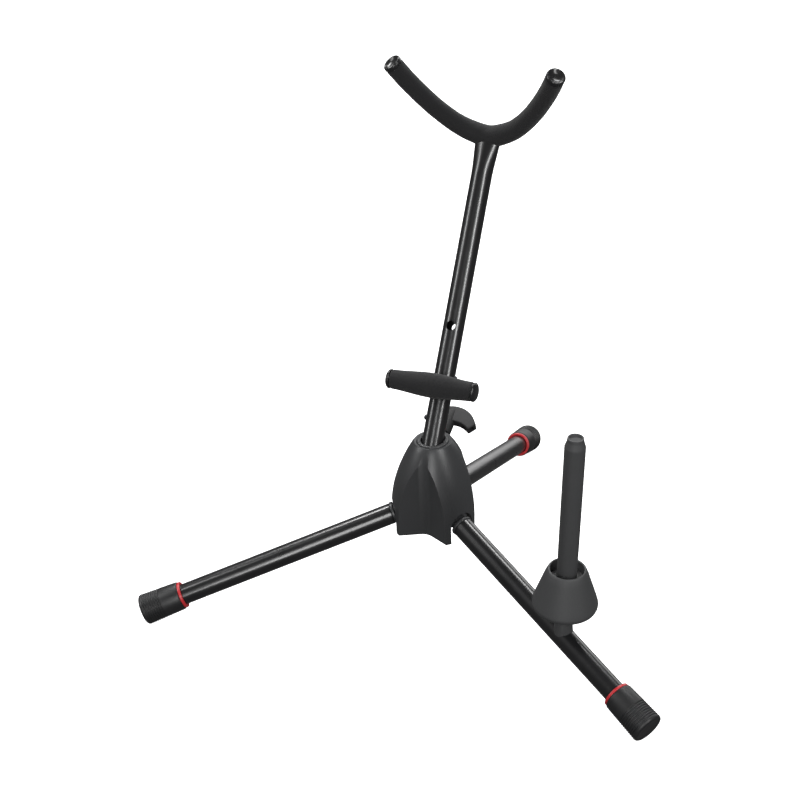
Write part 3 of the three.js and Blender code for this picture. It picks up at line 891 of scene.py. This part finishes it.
@dataclass
class Peg:
    """The clarinet peg with its skirt and boss, on the right leg."""

    seat: float = 34.0
    skirt_height: float = 38.0
    skirt_bottom: float = 28.0
    skirt_top: float = 16.5
    shaft_radius: float = 8.6
    tip: float = 200.0

    @property
    def place(self) -> Matrix:
        """Z up the peg, its zero on the leg's axis."""
        joint = JOINTS["peg_turn"]
        up = Vector(joint["axis"])
        origin = Vector(joint["pos_m"]) - up * self.seat * MM
        return along(up, Vector((1, 0, 0)), origin)

    def skirt(self) -> None:
        """The hollow skirt with a rolled lower edge and a round well in its top."""
        low = self.seat
        high = low + self.skirt_height
        bottom, top = self.skirt_bottom, self.skirt_top
        profile = rounded([
            (bottom - 3, low + 1.2, 0.8), (bottom - 2.2, low, 0.8), (bottom - 1.2, low, 1.2),
            (bottom - 0.1, low + 3.0, 2.6), (bottom - 1.4, low + 7.5, 4.0), (top + 1.6, high - 5.0, 4.0),
            (top - 0.1, high - 1.3, 1.2), (top - 1.1, high, 0.8), (top - 2.3, high - 0.3, 0.5),
            (top - 3.0, high - 8.8, 0.5), (4.6, high - 8.8), (4.6, low + 3.4), (8.4, low + 3.4),
            (8.4, low + 12), (12.0, high - 14.2), (bottom - 4.6, low + 6),
        ], 5)
        bm = revolved(profile, looped=True, sides=128)
        Piece("peg_skirt", Finishes.PEG, "peg", ("peg_cone",), self.place).make(bm)

    def shaft(self) -> None:
        """The tapered peg with its chamfered tip."""
        r = self.shaft_radius
        low = self.seat + self.skirt_height - 8.6
        tip = self.tip
        profile = rounded([
            (0, low), (r - 0.3, low), (r - 0.1, low + 30, 8), (r, tip - 8.5, 0.8), (6.9, tip - 3.2, 0.8),
            (6.6, tip - 0.2, 0.5), (5.4, tip - 0.2, 0.3), (5.0, tip - 2.2, 0.3), (0, tip - 2.4),
        ], 5)
        Piece("peg_stem", Finishes.PEG, "peg", ("peg_shaft",), self.place).make(revolved(profile))

    def boss(self) -> None:
        """The moulded boss, saddled on the leg tube."""
        profile = [(0, 2), (8.8, 2), (7.8, 13, 3), (6.6, 18, 3), (6.6, 36.6, 0.5), (0, 36.6)]
        body = revolved(rounded(profile), sides=72)
        leg = Leg(Side.RIGHT)
        tube = turned_to(rod(9.8, 40, 260, 0.0), self.place.inverted() @ leg.place)
        bm = combined(body, (Way.CUT, tube), (Way.CUT, rod(4.3, 16, 44, 0.0, 48)))
        Piece("peg_saddle", Finishes.PEG, "leg_right", ("peg_boss",), self.place, 0.3).make(bm)

    def build(self) -> None:
        """Makes every piece of the peg."""
        self.skirt()
        self.shaft()
        self.boss()


@dataclass
class Post:
    """The leaning post with its pressed top, yoke and domed pins."""

    diameter: float = 19.1
    wall: float = 1.5
    start: float = -4.0
    length: float = 294.8
    crown: float = 40.0
    crown_width: float = 24.0
    crown_depth: float = 12.5
    rest: float = 63.5
    spare_hole: float = 120.0
    cross_radius: float = 4.3
    low_button: float = 36.5
    high_button: float = 74.5
    button_radius: float = 2.5
    yoke_half: float = 73.0
    yoke_depth: float = 79.8
    yoke_rise: float = math.radians(27.1)
    foam_radius: float = 8.7

    @property
    def place(self) -> Matrix:
        """Z up the post, Y to its back, from the post's foot."""
        up = Vector(JOINTS["post_slide"]["axis"])
        front = Vector(JOINTS["rest_slide"]["axis"])
        origin = Vector(MOUNTS["lower_rest"]["pos_m"]) - up * self.rest * MM - front * REST_OUT * MM
        return axes_matrix(Vector((1, 0, 0)), -front, up, origin)

    @property
    def lean(self) -> float:
        """How far the post leans back from upright, in radians."""
        up = Vector(JOINTS["post_slide"]["axis"])
        return math.atan2(up.y, up.z)

    def tube(self) -> None:
        """The painted post with its cross holes and button holes."""
        outer = self.diameter / 2
        inner = outer - self.wall
        high = self.length - self.crown
        profile = [(inner, self.start), (outer, self.start)]
        profile += [(outer, self.start + (high - self.start) * k / 24) for k in range(1, 24)]
        profile += [(outer, high), (inner, high)]
        tools = []
        for height in (self.rest, self.spare_hole):
            hole = turned_to(rod(self.cross_radius, -30, 30, 0.0, 48), TO_FRONT)
            tools.append((Way.CUT, turned_to(hole, Matrix.Translation((0, 0, height * MM)))))
        for height, side in ((self.low_button, -1), (self.high_button, 1)):
            span = (2, 30) if side > 0 else (-30, -2)
            hole = turned_to(rod(self.button_radius + 0.1, *span, 0.0, 32), TO_X)
            tools.append((Way.CUT, turned_to(hole, Matrix.Translation((0, 0, height * MM)))))
        bm = combined(revolved(profile, looped=True), *tools)
        Piece("post_fine", Finishes.PAINT, "post", ("post_tube",), self.place, 0.35, sharp=40).make(bm)

    def top(self) -> None:
        """The post's pressed and widened top, which runs into the yoke."""
        low = self.length - self.crown + 0.02
        high = self.length - 2.0
        outer = self.diameter / 2
        rings = 28
        profile = [(0, low), (outer, low)]
        profile += [(outer, low + (high - low) * k / rings) for k in range(1, rings + 1)]
        bm = revolved([*profile, (0, high)])
        for vert in bm.verts:
            t = (vert.co.z / MM - low - 2) / (self.length + 2 - low - 2)
            t = min(max(t, 0.0), 1.0)
            t = t * t * (3 - 2 * t)
            vert.co.x *= 1 + (self.crown_width / self.diameter - 1) * t
            vert.co.y *= 1 + (self.crown_depth / self.diameter - 1) * t
        Piece("post_top", Finishes.PAINT, "post", ("post_crown",), self.place, sharp=50).make(bm)

    def yoke_path(self, steps: int) -> list[Vector]:
        """Points along the yoke's centre line, in the post's frame, in millimetres."""
        rise = (0.055, 0.16, 0.315, 0.475, 0.66, 0.82, 1.0)
        across = (0.195, 0.375, 0.54, 0.675, 0.805, 0.905, 1.0)
        arm = [(a * self.yoke_half, v * self.yoke_depth) for a, v in zip(across, rise)]
        flat = [(-x, v) for x, v in reversed(arm)] + [(0.0, 0.0)] + arm
        up, out = math.sin(self.yoke_rise), math.cos(self.yoke_rise)
        knots = [Vector((x, -v * out, self.length + v * up)) for x, v in flat]
        knots = [knots[0] * 2 - knots[1], *knots, knots[-1] * 2 - knots[-2]]
        path = []
        spans = len(knots) - 3
        for i in range(steps + 1):
            place = min(i / steps * spans, spans - 1e-6)
            k, t = int(place), place - int(place)
            a, b, c, d = knots[k:k + 4]
            path.append(0.5 * ((2 * b) + (c - a) * t + (2 * a - 5 * b + 4 * c - d) * t ** 2
                               + (3 * b - a - 3 * c + d) * t ** 3))
        return path

    def swept(
        self, path: Sequence[Vector], radius: Callable[[float, float, Vector], float], sides: int
    ) -> Mesh:
        """A closed skin along a path.

        Args:
            path: the centre line, in millimetres.
            radius: the radius at a share of the length, an angle and a point.
            sides: points round the section.

        Returns:
            The mesh, with both ends closed.
        """
        bm = bmesh.new()
        rings = []
        upwards = Vector((0, math.sin(self.yoke_rise), math.cos(self.yoke_rise)))
        for i, middle in enumerate(path):
            ahead = path[min(i + 1, len(path) - 1)] - path[max(i - 1, 0)]
            frame_here = along(ahead, upwards, middle * MM)
            ring = bmesh.ops.create_circle(bm, cap_ends=False, radius=MM, segments=sides)["verts"]
            for vert in ring:
                angle = math.atan2(vert.co.y, vert.co.x)
                vert.co *= radius(i / (len(path) - 1), angle, middle)
            bmesh.ops.transform(bm, matrix=frame_here, verts=ring)
            rings.append(ring)
        for first, second in zip(rings, rings[1:]):
            edges = [e for ring in (first, second) for v in ring for e in v.link_edges
                     if e.other_vert(v) in ring]
            bmesh.ops.bridge_loops(bm, edges=list(dict.fromkeys(edges)))
        for ring in (rings[0], rings[-1]):
            edges = [e for v in ring for e in v.link_edges if e.is_boundary]
            bmesh.ops.edgeloop_fill(bm, edges=list(dict.fromkeys(edges)))
        bmesh.ops.recalc_face_normals(bm, faces=bm.faces[:])
        return bm

    def foam_radius_at(self, share: float, angle: float, middle: Vector) -> float:
        """The foam's radius: a little uneven, rounded in at both cut ends."""
        around = Vector((math.cos(angle), math.sin(angle), share * 26))
        uneven = noise.noise(around * 1.3) * 0.12 + noise.noise(around * 4.0) * 0.05
        end = min(share, 1 - share) * 200
        rim = 0.5 * max(0.0, 1 - end / 1.2) ** 2
        middle_swell = 1.3 * math.exp(-((share - 0.5) / 0.13) ** 2)
        return self.foam_radius - 0.17 + uneven - rim + middle_swell

    def yoke(self) -> None:
        """The foam-covered yoke with a domed cap on each tip."""
        path = self.yoke_path(150)
        foam = self.swept(path, self.foam_radius_at, 56)
        Piece("yoke_sleeve", Finishes.FOAM, "post", ("yoke_foam",), self.place, fill=1.0, sharp=60).make(foam)
        r = self.foam_radius
        for name, end, inner in (("left", path[0], path[1]), ("right", path[-1], path[-2])):
            profile = [(0, 0.3), (r - 0.5, 0.3), (r - 0.15, 0.6, 0.3), (r - 0.15, 3.6, 0.8),
                       (r - 1.0, 4.7, 0.6), (r - 2.0, 4.3, 0.8), (r - 4.6, 2.6, 2.0), (0, 2.0)]
            frame_here = along(end - inner, Vector((0, 0, 1)), end * MM)
            cap = turned_to(revolved(rounded(profile, 6)), frame_here)
            Piece(f"yoke_tip_{name}", Finishes.CAP, "post", (f"yoke_cap_{name}",), self.place).make(cap)

    def buttons(self) -> None:
        """The two domed pins in the post's sides."""
        r = self.button_radius
        tip = self.diameter / 2 + 2.6
        for name, height, side in (("low", self.low_button, -1), ("high", self.high_button, 1)):
            profile = rounded([(0, 4.5), (r + 1, 4.5), (r + 1, 5.8), (r, 5.8), (r, tip - 1.7, 0.9),
                               (r * 0.7, tip - 0.5, 0.9), (0, tip)], 5)
            turn = Matrix.Rotation(math.pi / 2 * side, 4, "Y")
            bm = turned_to(revolved(profile, sides=48), Matrix.Translation((0, 0, height * MM)) @ turn)
            node = f"snap_button_{name}"
            Piece(f"{node}_fine", Finishes.BUTTON, f"button_{name}", (node,), self.place).make(bm)

    def build(self) -> None:
        """Makes every piece of the post."""
        self.tube()
        self.top()
        self.yoke()
        self.buttons()


@dataclass
class Rest:
    """The lower rest: foam-covered cross bar on a stem through the post."""

    forward: float = REST_OUT
    half: float = 38.0
    bar_radius: float = 5.3
    end_radius: float = 8.8
    middle_radius: float = 11.2
    stem_radius: float = 4.12

    @property
    def place(self) -> Matrix:
        """The post's frame, raised to the rest."""
        return Post().place @ Matrix.Translation((0, 0, Post().rest * MM))

    def foam(self) -> None:
        """The sleeve: full in the middle, slimmer at its ends."""
        end = self.half - 0.5
        steps = 90
        skin: list[Point] = []
        for i in range(steps + 1):
            x = -end + 2 * end * i / steps
            swell = math.cos(x / end * math.pi / 2) ** 2
            rim = 0.6 * max(0.0, 1 - (end - abs(x)) / 1.4) ** 2
            skin.append((self.end_radius + (self.middle_radius - self.end_radius) * swell - 0.12 - rim, x))
        bm = revolved([(self.bar_radius, -end), *skin, (self.bar_radius, end)], looped=True, sides=80)
        for vert in bm.verts:
            flat = Vector((vert.co.x, vert.co.y, 0))
            if flat.length > 7 * MM:
                vert.co += flat.normalized() * noise.noise(vert.co * 170) * 0.1 * MM
        way = turned_to(rod(4.6, -40, 0, 0.0, 48), TO_FRONT)
        bm = combined(turned_to(bm, TO_X), (Way.CUT, way))
        place = self.place @ Matrix.Translation((0, -self.forward * MM, 0))
        Piece("rest_sleeve", Finishes.FOAM, "rest", ("rest_foam",), place, fill=1.0, sharp=50).make(bm)

    def caps(self) -> None:
        """The domed end caps."""
        r = self.end_radius
        for name, side in (("left", -1), ("right", 1)):
            profile = [(0, 0.3), (r - 0.4, 0.3), (r - 0.1, 0.7, 0.3), (r - 0.1, 1.9, 0.9),
                       (r - 1.7, 3.5, 1.2), (0, 4.3)]
            turn = Matrix.Rotation(math.pi / 2 * side, 4, "Y")
            bm = turned_to(revolved(rounded(profile, 6)), turn @ Matrix.Translation((0, 0, self.half * MM)))
            place = self.place @ Matrix.Translation((0, -self.forward * MM, 0))
            Piece(f"rest_tip_{name}", Finishes.CAP, "rest", (f"rest_cap_{name}",), place).make(bm)

    def stem(self) -> None:
        """The stem with its shoulder against the post."""
        r = self.stem_radius
        profile = rounded([(0, -13.9), (r - 0.7, -13.9), (r, -13.2, 0.4), (r, 9.9), (6.5, 9.9, 0.3),
                           (6.5, 12.4, 0.8), (r, 12.5), (r, 23.8), (0, 23.8)])
        bm = turned_to(revolved(profile, sides=64), TO_FRONT)
        Piece("rest_spigot", Finishes.PAINT, "rest", ("rest_stem",), self.place).make(bm)

    def build(self) -> None:
        """Makes every piece of the rest."""
        self.foam()
        self.caps()
        self.stem()


@dataclass
class Kept:
    """The CAD nodes that show as they are, mostly inside the hub and the foam."""

    dress: tuple[tuple[str, Finishes], ...] = (
        ("hub_core", Finishes.HUB),
        ("clamp_screw", Finishes.STEEL),
        ("pivot_pin_left", Finishes.STEEL),
        ("pivot_pin_right", Finishes.STEEL),
        ("pivot_pin_rear", Finishes.STEEL),
        ("peg_stud", Finishes.STEEL),
        ("yoke_rod", Finishes.PAINT),
        ("rest_bar", Finishes.PAINT),
    )

    def build(self) -> None:
        """Gives each kept node its finish."""
        for node, finish in self.dress:
            kept = frame["nodes"][node]
            kept.data.materials.clear()
            kept.data.materials.append(finish.material())
            LOG.info("%s: CAD node kept, %s", node, finish.slot)


@dataclass
class Studio:
    """Pale floor, soft lights and the camera."""

    azimuth: float = 23.69
    elevation: float = 29.05
    roll: float = -2.46
    distance: float = 1.41444
    aim_right: float = -0.0356
    aim_up: float = 0.1789
    lens: float = 67.5

    def camera(self) -> None:
        """Places the camera over the front right."""
        a, e, r = (math.radians(v) for v in (self.azimuth, self.elevation, self.roll))
        back = Vector((math.cos(e) * math.sin(a), -math.cos(e) * math.cos(a), math.sin(e)))
        level = Vector((math.cos(a), math.sin(a), 0.0))
        rise = back.cross(level)
        right = level * math.cos(r) + rise * math.sin(r)
        up = rise * math.cos(r) - level * math.sin(r)
        where = Hub().place.translation + back * self.distance + right * self.aim_right + up * self.aim_up
        camera = bpy.data.objects.new("camera", bpy.data.cameras.new("camera"))
        camera.data.lens = self.lens
        camera.data.sensor_width = 36.0
        camera.data.clip_start = 0.05
        camera.matrix_world = axes_matrix(right, up, back, where)
        bpy.context.scene.collection.objects.link(camera)
        bpy.context.scene.camera = camera

    def floor(self) -> None:
        """A wide pale sheet with a faint shine."""
        bm = bmesh.new()
        bmesh.ops.create_grid(bm, x_segments=1, y_segments=1, size=12.0)
        bmesh.ops.translate(bm, verts=bm.verts[:], vec=(0, 0, -0.0004))
        mesh = bpy.data.meshes.new("floor")
        bm.to_mesh(mesh)
        bm.free()
        shader = Shader("pale_floor")
        shader.sockets(Base_Color=(0.9, 0.9, 0.9, 1.0), Roughness=0.16, Specular_IOR_Level=0.4)
        shader.sockets(Emission_Color=(1.0, 1.0, 1.0, 1.0), Emission_Strength=0.78)
        mesh.materials.append(shader.material)
        sheet = bpy.data.objects.new("floor", mesh)
        sheet.visible_glossy = False
        sheet.visible_diffuse = False
        bpy.context.scene.collection.objects.link(sheet)

    def light(self, name: str, where: Point, size: Point, power: float) -> None:
        """A soft box that looks at the stand."""
        lamp = bpy.data.lights.new(name, "AREA")
        lamp.shape = "RECTANGLE"
        lamp.size, lamp.size_y = size
        lamp.energy = power
        holder = bpy.data.objects.new(name, lamp)
        spot = Vector(where)
        back = (spot - Vector((0, 0, 0.2))).normalized()
        holder.matrix_world = along(back, Vector((0, 0, 1)).cross(back), spot)
        bpy.context.scene.collection.objects.link(holder)

    def build(self) -> None:
        """Sets the whole studio."""
        self.camera()
        self.floor()
        self.light("left", (-1.7, -0.9, 1.5), (0.35, 1.5), 20.0)
        self.light("right", (1.8, -0.9, 1.5), (0.35, 1.6), 34.0)
        self.light("over_left", (-1.1, 0.7, 1.8), (0.9, 0.35), 26.0)
        self.light("over_back", (0.1, 1.4, 2.1), (1.2, 0.5), 26.0)
        self.light("rear", (0.2, 3.2, 0.9), (3.4, 1.6), 36.0)
        self.light("front", (0.5, -2.2, 0.9), (0.5, 1.3), 24.0)
        world = bpy.data.worlds.new("studio")
        world.use_nodes = True
        sky = next(n for n in world.node_tree.nodes if n.type == "BACKGROUND")
        sky.inputs["Color"].default_value = (1.0, 1.0, 1.0, 1.0)
        sky.inputs["Strength"].default_value = 0.1
        bpy.context.scene.world = world
        bpy.context.scene.view_settings.view_transform = "Standard"


def main() -> None:
    """Builds the stand in order and reports each piece."""
    logging.basicConfig(level=logging.INFO, format="%(name)s %(message)s")
    Studio().build()
    Hub().build()
    for side in Side:
        Leg(side).build()
    Peg().build()
    Post().build()
    Rest().build()
    Kept().build()


if __name__ == "__main__":
    main()
